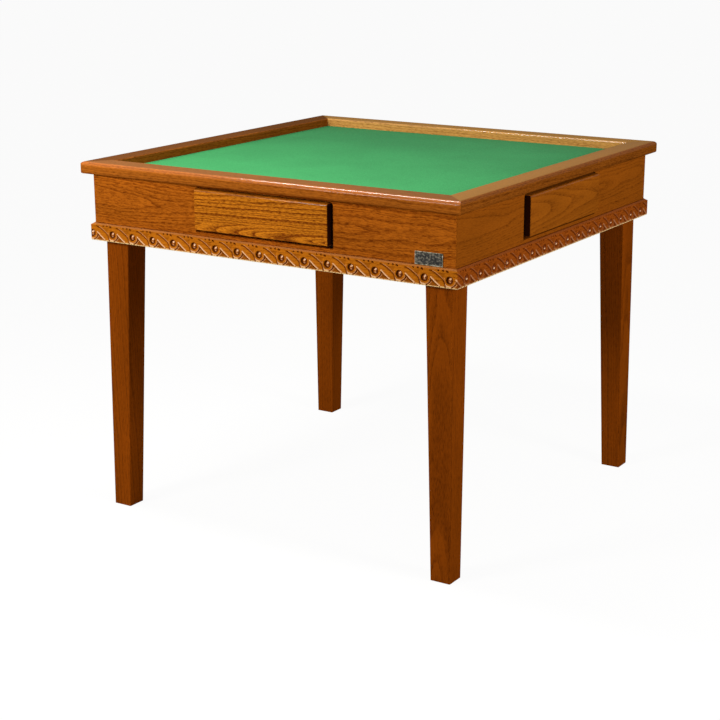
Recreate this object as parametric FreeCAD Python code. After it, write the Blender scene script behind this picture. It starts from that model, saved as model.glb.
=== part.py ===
import FreeCAD, Part
import os
from math import sqrt
from FreeCAD import Rotation, Vector

os.makedirs("parts", exist_ok=True)

# Square mahjong table with one drawer in each side, in millimetres.
# The origin is on the floor under the middle of the table, +Z is up, and the front side faces -Y.

# Whole table
table_width = 914.0
table_height = 765.0

# Rim: four mitred rails with rounded edges, rebated under the inner edge for the board
rim_width = 53.0
rim_thickness = 26.0
rim_overhang = 19.0
rim_top_round = 10.0
rim_under_round = 7.0
rim_inner_round = 4.0
rim_corner_round = 6.0

# Playing surface: a plywood board under the lip of the rim, with baize glued on it inside the lip
baize_drop = 19.0
baize_thickness = 1.5
baize_edge_clearance = 0.3
board_clearance = 0.3
board_thickness = 12.0
board_edge_clearance = 0.5

# Aprons: four upright boards, mitred at the corners
apron_thickness = 16.0
apron_height = 137.5
apron_corner_round = 4.0

# Moulding: mitred strips nailed along the foot of the aprons, with a sloping top ledge
moulding_height = 34.5
moulding_thickness = 7.0
moulding_slope_height = 4.2
moulding_foot_round = 3.0
moulding_corner_round = 3.0
moulding_below_apron = 1.0

# Drawer opening in each apron, square below and rounded at its top corners
opening_below_rim = 5.0
opening_round = 8.0

# Legs: square, tapered on the two inner sides, their feet a little outside their tops, with a flat
# across the inner corner for the block
leg_size = 59.0
foot_size = 44.0
leg_taper_height = 597.0
leg_splay = 5.0
leg_edge_round = 2.0
leg_flat_cut = 12.0
leg_flat_below_block = 5.0

# Corner blocks and what bolts the legs to them
block_thickness = 20.0
block_height = 90.0
block_above_apron_foot = 20.0
bolt_radius = 4.0
bolt_in_leg = 34.0
bolt_past_block = 24.0
bolt_hole_clearance = 0.2
washer_radius = 12.0
washer_thickness = 1.6
nut_radius = 7.5
nut_taper = 1.0
nut_height = 9.0
wing_reach = 18.0
wing_height = 17.0
wing_tip = 5.0
wing_thickness = 3.5

# Drawers: the front board stands in its opening, with gaps all round, and proud of the apron
drawer_face_width = 322.0
drawer_face_height = 83.0
drawer_face_thickness = 20.0
drawer_proud = 12.0
drawer_side_gap = 6.0
drawer_top_gap = 2.5
drawer_foot_gap = 6.7
face_top_round = 5.0
face_foot_round = 3.0
face_end_round = 2.0
box_inset = 2.5
box_wall = 10.0
box_below_face_top = 6.5
box_above_face_foot = 5.0
box_bottom_thickness = 4.0
box_bottom_rise = 5.0
groove_depth = 5.0
housing_depth = 8.0
drawer_back_clearance = 4.0

# Frame that carries the board and the drawers: bearers beside the drawers, with runners on them and
# a sill from runner to runner behind the foot of each opening
bearer_thickness = 18.0
guide_clearance = 1.5
runner_width = 18.0
runner_thickness = 12.0
runner_clearance = 0.3
sill_width = 18.0
stop_width = 40.0
stop_depth = 22.0
stop_overlap = 7.0
cleat_size = 18.0

# Bare metal plate on the front apron
plate_width = 60.0
plate_height = 25.0
plate_thickness = 1.2
plate_centre_from_corner = 58.0
plate_above_moulding = 0.3

# Places that follow from the sizes above
rim_outer = table_width / 2
rim_inner = rim_outer - rim_width
rim_bottom = table_height - rim_thickness
baize_top = table_height - baize_drop
board_top = baize_top - baize_thickness
board_bottom = board_top - board_thickness
apron_outer = rim_outer - rim_overhang
apron_inner = apron_outer - apron_thickness
apron_bottom = rim_bottom - apron_height
board_half = apron_inner - board_edge_clearance
baize_half = rim_inner - baize_edge_clearance
moulding_outer = apron_outer + moulding_thickness
moulding_bottom = apron_bottom - moulding_below_apron
moulding_top = moulding_bottom + moulding_height
face_half = drawer_face_width / 2
opening_half = face_half + drawer_side_gap
opening_top = rim_bottom - opening_below_rim
face_top = opening_top - drawer_top_gap
face_bottom = face_top - drawer_face_height
opening_bottom = face_bottom - drawer_foot_gap
leg_inner = apron_inner - leg_size
foot_outer = apron_inner + leg_splay
foot_inner = foot_outer - foot_size
block_bottom = apron_bottom + block_above_apron_foot
block_top = block_bottom + block_height
seat_place = leg_inner + leg_flat_cut / 2
face_front = apron_outer + drawer_proud
face_rear = face_front - drawer_face_thickness
box_half = face_half - box_inset
box_inner_half = box_half - box_wall
box_top = face_top - box_below_face_top
box_bottom = face_bottom + box_above_face_foot
bottom_under = box_bottom + box_bottom_rise
bottom_over = bottom_under + box_bottom_thickness
bearer_inner = box_half + guide_clearance
bearer_outer = bearer_inner + bearer_thickness
runner_top = box_bottom - runner_clearance
runner_bottom = runner_top - runner_thickness
box_rear = bearer_outer + drawer_back_clearance
quarter_turn = 90.0

# How far a cutting shape reaches past what it cuts, and the size below which an edge has no width
past = 1.0
flat_enough = 1e-4


def block(x_low, x_high, y_low, y_high, z_low, z_high):
    """A box between two corners."""
    low = Vector(x_low, y_low, z_low)
    return Part.makeBox(x_high - x_low, y_high - y_low, z_high - z_low, low)


def prism(points, z_low, z_high):
    """An upright prism on a plan of (x, y) points."""
    corners = [Vector(x, y, z_low) for x, y in points]
    face = Part.Face(Part.makePolygon(corners + corners[:1]))
    return face.extrude(Vector(0, 0, z_high - z_low))


def rounded_plan(half, radius, z_low, z_high):
    """A square prism with rounded upright edges, for easing mitred corners."""
    solid = block(-half, half, -half, half, z_low, z_high)
    upright = [edge for edge in solid.Edges if edge.BoundBox.XLength + edge.BoundBox.YLength < flat_enough]
    return solid.makeFillet(radius, upright)


def outline(points):
    """A closed wire in the YZ plane. A point (y, z, via_y, via_z) is reached by an arc through via."""
    edges = []
    start = Vector(0, points[0][0], points[0][1])
    for point in points[1:] + points[:1]:
        end = Vector(0, point[0], point[1])
        if len(point) == 4:
            middle = Vector(0, point[2], point[3])
            edges.append(Part.Arc(start, middle, end).toShape())
        else:
            edges.append(Part.makeLine(start, end))
        start = end
    return Part.Wire(edges)


def rounded_corner(y_from, z_from, y_to, z_to, y_centre, z_centre, radius):
    """The end point and the middle of a quarter arc, for outline()."""
    y_way = (y_from + y_to) / 2 - y_centre
    z_way = (z_from + z_to) / 2 - z_centre
    reach = radius / sqrt(y_way ** 2 + z_way ** 2)
    return (y_to, z_to, y_centre + y_way * reach, z_centre + z_way * reach)


def mitred(wire, reach, corner_round):
    """A front strip of one section, as long as the square it belongs to, mitred at both ends."""
    strip = Part.Face(wire).extrude(Vector(2 * reach, 0, 0))
    strip.translate(Vector(-reach, 0, 0))
    low = strip.BoundBox.ZMin
    high = strip.BoundBox.ZMax
    quarter = prism([(0, 0), (-reach, -reach), (reach, -reach)], low, high)
    return strip.common(quarter).common(rounded_plan(reach, corner_round, low, high))


def turned(shape, quarters):
    """The same piece on another side of the table."""
    copy = shape.copy()
    copy.rotate(Vector(0, 0, 0), Vector(0, 0, 1), quarter_turn * quarters)
    return copy


def export(name, shape):
    """Write one node, after checking that it is sound."""
    if not shape.isValid():
        raise ValueError(name + " is not a valid shape")
    shape.exportStep("parts/" + name + ".step")


def rim_rail():
    """Rail with a large round outside, a small one inside and a rebate for the board's edge."""
    top = table_height
    rebate_top = board_top + board_clearance
    outer = -rim_outer
    inner = -rim_inner
    under = rim_under_round
    over = rim_top_round
    inside = rim_inner_round
    points = [
        (outer, rim_bottom + under),
        rounded_corner(outer, rim_bottom + under, outer + under, rim_bottom,
                       outer + under, rim_bottom + under, under),
        (-apron_inner, rim_bottom),
        (-apron_inner, rebate_top),
        (inner, rebate_top),
        (inner, top - inside),
        rounded_corner(inner, top - inside, inner - inside, top, inner - inside, top - inside, inside),
        (outer + over, top),
        rounded_corner(outer + over, top, outer, top - over, outer + over, top - over, over),
    ]
    return mitred(outline(points), rim_outer, rim_corner_round)


def apron():
    """Upright board with the drawer opening cut through it."""
    points = [
        (-apron_outer, apron_bottom),
        (-apron_inner, apron_bottom),
        (-apron_inner, rim_bottom),
        (-apron_outer, rim_bottom),
    ]
    board = mitred(outline(points), apron_outer, apron_corner_round)
    hole = block(-opening_half, opening_half, -apron_outer - past, -apron_inner + past,
                 opening_bottom, opening_top)
    top_corners = [edge for edge in hole.Edges
                   if edge.BoundBox.YLength > apron_thickness
                   and edge.BoundBox.ZMin > opening_bottom + past]
    return board.cut(hole.makeFillet(opening_round, top_corners))


def moulding():
    """Strip with a sloping ledge above, an upright face for the carving and a rounded foot."""
    outer = -moulding_outer
    foot = moulding_foot_round
    points = [
        (-apron_outer, moulding_bottom),
        (-apron_outer, moulding_top),
        (outer, moulding_top - moulding_slope_height),
        (outer, moulding_bottom + foot),
        rounded_corner(outer, moulding_bottom + foot, outer + foot, moulding_bottom,
                       outer + foot, moulding_bottom + foot, foot),
    ]
    return mitred(outline(points), moulding_outer, moulding_corner_round)


def rounded_square(inner, outer, z):
    """Section of the front right leg, from its inner corner to its outer one, edges eased."""
    r = leg_edge_round
    bend = r * (1 - 1 / sqrt(2))
    x_low, x_high, y_low, y_high = inner, outer, -outer, -inner
    corners = [
        (x_high - r, y_low, x_high - bend, y_low + bend, x_high, y_low + r),
        (x_high, y_high - r, x_high - bend, y_high - bend, x_high - r, y_high),
        (x_low + r, y_high, x_low + bend, y_high - bend, x_low, y_high - r),
        (x_low, y_low + r, x_low + bend, y_low + bend, x_low + r, y_low),
    ]
    edges = []
    last = Vector(corners[-1][4], corners[-1][5], z)
    for x_in, y_in, x_via, y_via, x_out, y_out in corners:
        start = Vector(x_in, y_in, z)
        end = Vector(x_out, y_out, z)
        edges.append(Part.makeLine(last, start))
        edges.append(Part.Arc(start, Vector(x_via, y_via, z), end).toShape())
        last = end
    return Part.Wire(edges)


def at_seat(shape):
    """A piece built along +Z, set on the flat of the front right leg and pointing into the corner block."""
    copy = shape.copy()
    seat = Vector(seat_place, -seat_place, (block_bottom + block_top) / 2)
    copy.Placement = FreeCAD.Placement(seat, Rotation(Vector(0, 0, 1), Vector(-1, 1, 0)))
    return copy


def leg():
    """Leg, tapered and splayed below the apron, with a flat for the block and a bolt hole."""
    section = rounded_square(leg_inner, apron_inner, leg_taper_height)
    foot = rounded_square(foot_inner, foot_outer, 0)
    tapered = Part.makeLoft([foot, section], True, True)
    straight = Part.Face(section).extrude(Vector(0, 0, board_bottom - leg_taper_height))
    solid = tapered.fuse(straight).removeSplitter()
    cut = leg_flat_cut
    corner = leg_inner
    flat = prism([(corner - past, -corner + past), (corner + cut + past, -corner + past),
                  (corner - past, -corner - cut - past)], block_bottom - leg_flat_below_block, board_bottom)
    solid = solid.cut(flat)
    hole = Part.makeCylinder(bolt_radius + bolt_hole_clearance, bolt_in_leg + 2 * past,
                             Vector(0, 0, -bolt_in_leg - past))
    return solid.cut(at_seat(hole))


def corner_block():
    """Board set across the inner corner from apron to apron, against the leg's flat."""
    near = 2 * seat_place - apron_inner
    far = near - block_thickness * sqrt(2)
    solid = prism([(apron_inner, -near), (near, -apron_inner), (far, -apron_inner), (apron_inner, -far)],
                  block_bottom, block_top)
    hole = Part.makeCylinder(bolt_radius + bolt_hole_clearance, block_thickness + 2 * past,
                             Vector(0, 0, -past))
    return solid.cut(at_seat(hole))


def hanger_bolt():
    """Plain rod from inside the leg to past the block."""
    length = bolt_in_leg + block_thickness + bolt_past_block
    return Part.makeCylinder(bolt_radius, length, Vector(0, 0, -bolt_in_leg))


def washer():
    """Flat ring against the block."""
    seat = Vector(0, 0, block_thickness)
    disc = Part.makeCylinder(washer_radius, washer_thickness, seat)
    return disc.cut(Part.makeCylinder(bolt_radius + bolt_hole_clearance, washer_thickness, seat))


def wing_nut():
    """Round hub with two upswept wings."""
    seat = block_thickness + washer_thickness
    top = seat + wing_height
    hub = Part.makeCone(nut_radius, nut_radius - nut_taper, nut_height, Vector(0, 0, seat))
    rise = [
        (0, seat + nut_taper),
        (nut_radius, seat + nut_taper),
        (wing_reach, top - wing_tip),
        (wing_reach, top),
        (wing_reach - wing_tip, top),
        (0, seat + nut_height),
    ]
    wings = []
    for way in (1, -1):
        corners = [Vector(way * x, -wing_thickness / 2, z) for x, z in rise]
        face = Part.Face(Part.makePolygon(corners + corners[:1]))
        wings.append(face.extrude(Vector(0, wing_thickness, 0)))
    body = hub.multiFuse(wings).removeSplitter()
    return body.cut(Part.makeCylinder(bolt_radius + bolt_hole_clearance, wing_height, Vector(0, 0, seat)))


def bearer(lap_on_top):
    """Board from apron to apron on the front side, halved where the cross bearers pass."""
    board = block(-apron_inner, apron_inner, -bearer_outer, -bearer_inner, runner_bottom, board_bottom)
    middle = (runner_bottom + board_bottom) / 2
    low, high = (middle, board_bottom) if lap_on_top else (runner_bottom, middle)
    for side in (-1, 1):
        x_low, x_high = sorted((side * bearer_inner, side * bearer_outer))
        board = board.cut(block(x_low, x_high, -bearer_outer, -bearer_inner, low, high))
    return board


def drawer_runners():
    """Two strips under the sides of the front drawer, on the bearers beside it, and the sill between."""
    reach = bearer_inner - runner_width
    strips = [block(-reach, reach, -apron_inner, -apron_inner + sill_width, runner_bottom, runner_top)]
    for side in (-1, 1):
        x_low, x_high = sorted((side * reach, side * bearer_inner))
        strips.append(block(x_low, x_high, -apron_inner, -bearer_outer, runner_bottom, runner_top))
    return Part.makeCompound(strips)


def drawer_stop():
    """Block under the board that the drawer's back meets when the drawer is fully out."""
    return block(-stop_width / 2, stop_width / 2, -apron_inner, -apron_inner + stop_depth,
                 box_top - stop_overlap, board_bottom)


def board_cleats():
    """Two strips on the inside of the front apron, between the bearers and the legs."""
    strips = []
    for side in (-1, 1):
        x_low, x_high = sorted((side * bearer_outer, side * leg_inner))
        strips.append(block(x_low, x_high, -apron_inner, -apron_inner + cleat_size,
                            board_bottom - cleat_size, board_bottom))
    return strips


def drawer_face():
    """Front board with rounded front edges, housed behind for the sides and grooved for the bottom."""
    front = -face_front
    rear = -face_rear
    top = face_top_round
    foot = face_foot_round
    points = [
        (front, face_bottom + foot),
        rounded_corner(front, face_bottom + foot, front + foot, face_bottom,
                       front + foot, face_bottom + foot, foot),
        (rear, face_bottom),
        (rear, face_top),
        (front + top, face_top),
        rounded_corner(front + top, face_top, front, face_top - top, front + top, face_top - top, top),
    ]
    solid = Part.Face(outline(points)).extrude(Vector(drawer_face_width, 0, 0))
    solid.translate(Vector(-face_half, 0, 0))
    ends = [edge for edge in solid.Edges
            if edge.BoundBox.XLength < flat_enough and edge.BoundBox.YMin < rear - past]
    solid = solid.makeFillet(face_end_round, ends)
    for side in (-1, 1):
        x_low, x_high = sorted((side * box_inner_half, side * box_half))
        solid = solid.cut(block(x_low, x_high, rear - housing_depth, rear, box_bottom, box_top))
    return solid.cut(block(-box_inner_half, box_inner_half, rear - groove_depth, rear,
                           bottom_under, bottom_over))


def drawer_side(side):
    """Side board with a groove along its inner face for the bottom."""
    x_low, x_high = sorted((side * box_inner_half, side * box_half))
    board = block(x_low, x_high, -face_rear - housing_depth, -box_rear, box_bottom, box_top)
    g_low, g_high = sorted((side * box_inner_half, side * (box_inner_half + groove_depth)))
    groove = block(g_low, g_high, -face_rear - housing_depth, -box_rear, bottom_under, bottom_over)
    return board.cut(groove)


def drawer_back():
    """Back board between the sides, standing on the bottom."""
    return block(-box_inner_half, box_inner_half, -box_rear - box_wall, -box_rear, bottom_over, box_top)


def drawer_bottom():
    """Thin panel in the grooves of the sides and the front."""
    half = box_inner_half + groove_depth
    wide = block(-half, half, -face_rear, -box_rear, bottom_under, bottom_over)
    tongue = block(-box_inner_half, box_inner_half, -face_rear - groove_depth, -face_rear,
                   bottom_under, bottom_over)
    return wide.fuse(tongue).removeSplitter()


def nameplate():
    """Bare plate standing on the moulding, near the right-hand corner."""
    centre = apron_outer - plate_centre_from_corner
    foot = moulding_top + plate_above_moulding
    return block(centre - plate_width / 2, centre + plate_width / 2,
                 -apron_outer - plate_thickness, -apron_outer, foot, foot + plate_height)


# Pieces that repeat on the four sides, starting at the front and going round by the right
sides = ("front", "right", "back", "left")
side_pieces = {
    "rim_rail": rim_rail(),
    "apron": apron(),
    "moulding": moulding(),
    "drawer_runners": drawer_runners(),
    "drawer_face": drawer_face(),
    "drawer_side_a": drawer_side(-1),
    "drawer_side_b": drawer_side(1),
    "drawer_back": drawer_back(),
    "drawer_bottom": drawer_bottom(),
}
for quarters, side in enumerate(sides):
    for piece, shape in side_pieces.items():
        export(side + "_" + piece, turned(shape, quarters))

# Legs and their blocks, from the front right corner round
corners = ("front_right", "back_right", "back_left", "front_left")
corner_pieces = {"leg": leg(), "corner_block": corner_block()}
for quarters, corner in enumerate(corners):
    for piece, shape in corner_pieces.items():
        export(corner + "_" + piece, turned(shape, quarters))

# Fixings of one kind share a node
fixings = {"hanger_bolts": hanger_bolt(), "washers": washer(), "wing_nuts": wing_nut()}
for name, fixing in fixings.items():
    export(name, Part.makeCompound([turned(at_seat(fixing), quarters) for quarters in range(4)]))

# Bearers: the front and back ones are halved from above, the left and right ones from below
export("front_bearer", bearer(True))
export("back_bearer", turned(bearer(True), 2))
export("right_bearer", turned(bearer(False), 1))
export("left_bearer", turned(bearer(False), 3))

export("board_cleats", Part.makeCompound([turned(one, quarters) for quarters in range(4)
                                          for one in board_cleats()]))
export("drawer_stops", Part.makeCompound([turned(drawer_stop(), quarters) for quarters in range(4)]))
export("playing_board", block(-board_half, board_half, -board_half, board_half, board_bottom, board_top))
export("baize", block(-baize_half, baize_half, -baize_half, baize_half, board_top, baize_top))
export("nameplate", nameplate())
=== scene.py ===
from math import cos, pi, radians, sin, sqrt

import bmesh
import bpy
import numpy
from mathutils import Matrix, Vector


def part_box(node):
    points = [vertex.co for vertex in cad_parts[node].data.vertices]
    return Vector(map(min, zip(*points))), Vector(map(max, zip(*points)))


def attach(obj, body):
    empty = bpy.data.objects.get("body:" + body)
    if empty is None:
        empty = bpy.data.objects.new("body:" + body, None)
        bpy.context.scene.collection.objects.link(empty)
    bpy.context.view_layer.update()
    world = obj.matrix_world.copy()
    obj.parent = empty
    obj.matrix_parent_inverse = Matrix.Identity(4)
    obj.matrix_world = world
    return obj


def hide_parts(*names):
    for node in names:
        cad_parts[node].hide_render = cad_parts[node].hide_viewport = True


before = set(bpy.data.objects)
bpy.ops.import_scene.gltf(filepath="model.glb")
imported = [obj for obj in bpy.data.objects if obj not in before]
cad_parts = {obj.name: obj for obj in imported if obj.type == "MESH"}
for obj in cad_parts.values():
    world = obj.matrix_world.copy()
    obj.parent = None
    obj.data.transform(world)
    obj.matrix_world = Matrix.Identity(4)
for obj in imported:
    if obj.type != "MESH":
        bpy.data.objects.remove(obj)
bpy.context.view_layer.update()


# ---------------------------------------------------------------------------------------------
# Camera: stands about 2.9 m in front of the table's right-hand corner, at chest height, and looks
# a little down on it through a long lens.
# ---------------------------------------------------------------------------------------------

camera_place = Vector((1.85553, -2.99256, 1.28175))
camera_turn = radians(32.511)
camera_dip = radians(15.709)
camera_roll = radians(-0.149)

camera = bpy.data.objects.new("camera", bpy.data.cameras.new("camera"))
camera.data.sensor_width = 36.0
camera.data.lens = 81.007
camera.matrix_world = (Matrix.Translation(camera_place)
                       @ Matrix.Rotation(camera_turn, 4, "Z")
                       @ Matrix.Rotation(pi / 2 - camera_dip, 4, "X")
                       @ Matrix.Rotation(camera_roll, 4, "Z"))
bpy.context.scene.collection.objects.link(camera)
bpy.context.scene.camera = camera


# ---------------------------------------------------------------------------------------------
# Studio: a pale floor, an even grey room and softboxes above. The floor is seen as white by the
# camera and in reflections, apart from a trace of the table's shadow.
# ---------------------------------------------------------------------------------------------

def linear(colour):
    """An sRGB hex colour as linear RGBA."""
    channels = [int(colour[at:at + 2], 16) / 255 for at in (1, 3, 5)]
    return [c / 12.92 if c <= 0.04045 else ((c + 0.055) / 1.055) ** 2.4 for c in channels] + [1.0]


def add_node(tree, kind, inputs=None, stops=None, **settings):
    """One node. Its inputs are values or other nodes' outputs, and stops are a colour ramp's."""
    node = tree.nodes.new(kind)
    for name, value in settings.items():
        setattr(node, name, value)
    for key, value in (inputs or {}).items():
        if isinstance(value, bpy.types.NodeSocket):
            tree.links.new(value, node.inputs[key])
        else:
            node.inputs[key].default_value = value
    if stops:
        ramp = node.color_ramp
        while len(ramp.elements) < len(stops):
            ramp.elements.new(1.0)
        for element, (position, colour) in zip(ramp.elements, stops):
            element.position = position
            element.color = colour
    return node


def white_where_seen(tree, level):
    """How much of a white glow there is: level to the camera and in reflections, else 0."""
    seen = add_node(tree, "ShaderNodeLightPath").outputs
    direct = add_node(tree, "ShaderNodeMath", operation="MAXIMUM",
                      inputs={0: seen["Is Camera Ray"], 1: seen["Is Glossy Ray"]}).outputs[0]
    either = add_node(tree, "ShaderNodeMath", operation="MAXIMUM",
                      inputs={0: direct, 1: seen["Is Transmission Ray"]}).outputs[0]
    return add_node(tree, "ShaderNodeMath", operation="MULTIPLY",
                    inputs={0: either, 1: level}).outputs[0]


paper_white = linear("#FFFFFF")
room_light = 0.20
room_glow = 1.0
floor_colour = "#A9A7A3"
floor_size = 60.0
floor_white = 0.86
floor_glow = 1.1

world = bpy.data.worlds.new("studio room")
bpy.context.scene.world = world
world.use_nodes = True
tree = world.node_tree
dim = add_node(tree, "ShaderNodeBackground", inputs={"Color": paper_white, "Strength": room_light})
backdrop = add_node(tree, "ShaderNodeBackground",
                    inputs={"Color": paper_white, "Strength": room_glow})
room = add_node(tree, "ShaderNodeMixShader",
                inputs={0: white_where_seen(tree, 1.0), 1: dim.outputs[0], 2: backdrop.outputs[0]})
tree.links.new(room.outputs[0], tree.nodes["World Output"].inputs["Surface"])

paper = bpy.data.materials.new("backdrop_paper")
paper.use_nodes = True
tree = paper.node_tree
matt = add_node(tree, "ShaderNodeBsdfDiffuse", inputs={"Color": linear(floor_colour)})
glow = add_node(tree, "ShaderNodeEmission", inputs={"Color": paper_white, "Strength": floor_glow})
both = add_node(tree, "ShaderNodeMixShader",
                inputs={0: white_where_seen(tree, floor_white), 1: matt.outputs[0],
                        2: glow.outputs[0]})
tree.links.new(both.outputs[0], tree.nodes["Material Output"].inputs["Surface"])

form = bmesh.new()
bmesh.ops.create_grid(form, x_segments=1, y_segments=1, size=floor_size / 2)
floor = bpy.data.objects.new("floor", bpy.data.meshes.new("floor"))
form.to_mesh(floor.data)
form.free()
floor.data.materials.append(paper)
bpy.context.scene.collection.objects.link(floor)

# Each lamp: its place, what it points at, its two widths in metres and its power in watts. The
# strip hangs so steeply over the front rail that its long second width lies along X
lamps = {
    "key_softbox": (Vector((-0.95, -2.50, 1.50)), Vector((-0.1, -0.4, 0.62)), 0.7, 0.5, 47),
    "right_softbox": (Vector((2.7, -0.3, 1.40)), Vector((0, 0, 0.60)), 0.7, 0.8, 40),
    "strip_softbox": (Vector((-0.48, -0.48, 2.05)), Vector((0.20, -0.45, 0.76)), 0.18, 0.75, 27),
}
for name, (place, target, first_width, second_width, watts) in lamps.items():
    lamp = bpy.data.objects.new(name, bpy.data.lights.new(name, "AREA"))
    lamp.data.shape = "RECTANGLE"
    lamp.data.size = first_width
    lamp.data.size_y = second_width
    lamp.data.energy = watts
    lamp.location = place
    lamp.rotation_euler = (target - place).to_track_quat("-Z", "Y").to_euler()
    bpy.context.scene.collection.objects.link(lamp)


# ---------------------------------------------------------------------------------------------
# Legs: square posts of ash with upright grain, tapered on their inner sides, stained brown and
# lacquered. Each stands inside a corner of the aprons, bolted to a block there.
# ---------------------------------------------------------------------------------------------

# How a board's grain frame is turned so that its X runs along the wood
along = {"x": (0, 0, 0), "y": (0, 0, pi / 2), "z": (0, -pi / 2, 0)}


def stained_ash(name, grain, pith, early, late, ring=0.0055, lean=0.015, wander=0.016,
                contrast=1.0, painted_light=1.0, speckle=0.45, flame=None):
    """Ash, planed, stained and sprayed with gloss lacquer: rings, open pores, a soft cloudiness.

    grain is the axis that the wood runs along, and pith a point on the middle line of its tree.
    Early wood is porous and takes more stain, so each ring starts dark and fades to the late wood.
    ring is the width of a year's growth, lean how steeply the years run out along the board, and
    wander how far they stray in all. contrast and speckle scale the rings' stain and the flecks.
    The whole colour is scaled by a factor of painted light or shade: a piece is painted lighter or
    darker by how the light falls on it. A flame is a tongue of nested rings: its middle from the
    pith along and up, how many times longer than high it is, and how far from the pith its inmost
    ring counts.
    """
    ripple_reach = 0.0022
    flame_blend = 0.004
    uneven_years = 2.4
    ring_stain = 0.62
    pores_in_rings, pores_anywhere = 0.5, 0.12
    pore_colour = "#6A3A16"
    pore_depth = 0.0003
    cloud_dark, cloud_light = 0.88, 1.10

    material = bpy.data.materials.new(name)
    material.use_nodes = True
    tree = material.node_tree
    place = add_node(tree, "ShaderNodeTexCoord").outputs["Object"]
    board = add_node(tree, "ShaderNodeMapping", vector_type="TEXTURE",
                     inputs={"Vector": place, "Location": pith,
                             "Rotation": along[grain]}).outputs[0]

    def stretched_noise(length, width, detail, roughness=0.5):
        """Noise whose grains are this long and wide, in metres."""
        scaled = add_node(tree, "ShaderNodeMapping",
                          inputs={"Vector": board, "Scale": (1 / length, 1 / width, 1 / width)})
        return add_node(tree, "ShaderNodeTexNoise",
                        inputs={"Vector": scaled.outputs[0], "Scale": 1.0, "Detail": detail,
                                "Roughness": roughness}).outputs

    def warped(vector, noise, reach):
        """The place moved by up to about half of reach."""
        centred = add_node(tree, "ShaderNodeVectorMath", operation="SUBTRACT",
                           inputs={0: noise["Color"], 1: (0.5, 0.5, 0.5)}).outputs[0]
        return add_node(tree, "ShaderNodeVectorMath", operation="MULTIPLY_ADD",
                        inputs={0: centred, 1: (reach, reach, reach), 2: vector}).outputs[0]

    # The tree's growth bends slowly along the board and ripples a little
    grown = warped(board, stretched_noise(length=0.30, width=0.09, detail=2.0), wander)
    grown = warped(grown, stretched_noise(length=0.05, width=0.014, detail=2.0), ripple_reach)
    across = add_node(tree, "ShaderNodeVectorMath", operation="MULTIPLY",
                      inputs={0: grown, 1: (0, 1, 1)}).outputs[0]
    radius = add_node(tree, "ShaderNodeVectorMath", operation="LENGTH",
                      inputs={0: across}).outputs["Value"]
    if flame:
        (flame_run, flame_rise), stretch, inmost = flame
        away = add_node(tree, "ShaderNodeVectorMath", operation="MULTIPLY_ADD",
                        inputs={0: grown, 1: (1 / stretch, 0, 1),
                                2: (-flame_run / stretch, 0, -flame_rise)}).outputs[0]
        nested = add_node(tree, "ShaderNodeVectorMath", operation="LENGTH",
                          inputs={0: away}).outputs["Value"]
        tongue = add_node(tree, "ShaderNodeMath", operation="ADD",
                          inputs={0: nested, 1: inmost}).outputs[0]
        radius = add_node(tree, "ShaderNodeMath", operation="SMOOTH_MIN",
                          inputs={0: radius, 1: tongue, 2: flame_blend}).outputs[0]
    run = add_node(tree, "ShaderNodeSeparateXYZ", inputs={0: grown}).outputs["X"]
    leaning = add_node(tree, "ShaderNodeMath", operation="MULTIPLY_ADD",
                       inputs={0: run, 1: lean, 2: radius}).outputs[0]
    years = add_node(tree, "ShaderNodeMath", operation="DIVIDE",
                     inputs={0: leaning, 1: ring}).outputs[0]
    uneven = add_node(tree, "ShaderNodeTexNoise", noise_dimensions="1D",
                      inputs={"W": years, "Scale": 0.35, "Detail": 1.0}).outputs[0]
    counted = add_node(tree, "ShaderNodeMath", operation="MULTIPLY_ADD",
                       inputs={0: uneven, 1: uneven_years, 2: years}).outputs[0]
    season = add_node(tree, "ShaderNodeMath", operation="FRACT", inputs={0: counted}).outputs[0]
    porous = add_node(tree, "ShaderNodeValToRGB", inputs={0: season},
                      stops=[(0.0, linear("#FFFFFF")), (0.22, linear("#C4C4C4")),
                             (0.55, linear("#585858")), (0.92, linear("#000000")),
                             (1.0, linear("#FFFFFF"))]).outputs[0]

    # Pores are about 0.3 mm wide and drawn twice as coarse, so that their streaks show
    pores = stretched_noise(length=0.012, width=0.0007, detail=1.0)["Fac"]
    open_pores = add_node(tree, "ShaderNodeMapRange",
                          inputs={"Value": pores, "From Min": 0.50, "From Max": 0.66}).outputs[0]
    # Flecks of pores in rows, a few millimetres long
    fleck = stretched_noise(length=0.009, width=0.0019, detail=2.0, roughness=0.6)["Fac"]
    flecks = add_node(tree, "ShaderNodeMapRange",
                      inputs={"Value": fleck, "From Min": 0.42, "From Max": 0.72}).outputs[0]
    ring_share = add_node(tree, "ShaderNodeMath", operation="MULTIPLY",
                          inputs={0: porous, 1: ring_stain * contrast}).outputs[0]
    stain_share = add_node(tree, "ShaderNodeMath", operation="MULTIPLY_ADD", use_clamp=True,
                           inputs={0: flecks, 1: speckle, 2: ring_share}).outputs[0]
    timber = add_node(tree, "ShaderNodeMix", data_type="RGBA",
                      inputs={"Factor": stain_share, "A": linear(late),
                              "B": linear(early)}).outputs["Result"]
    pores_here = add_node(tree, "ShaderNodeMath", operation="MULTIPLY_ADD",
                          inputs={0: porous, 1: pores_in_rings, 2: pores_anywhere}).outputs[0]
    pore_share = add_node(tree, "ShaderNodeMath", operation="MULTIPLY",
                          inputs={0: open_pores, 1: pores_here}).outputs[0]
    dark_pores = add_node(tree, "ShaderNodeMix", data_type="RGBA", blend_type="MULTIPLY",
                          inputs={"Factor": pore_share, "A": timber,
                                  "B": linear(pore_colour)}).outputs["Result"]

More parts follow.
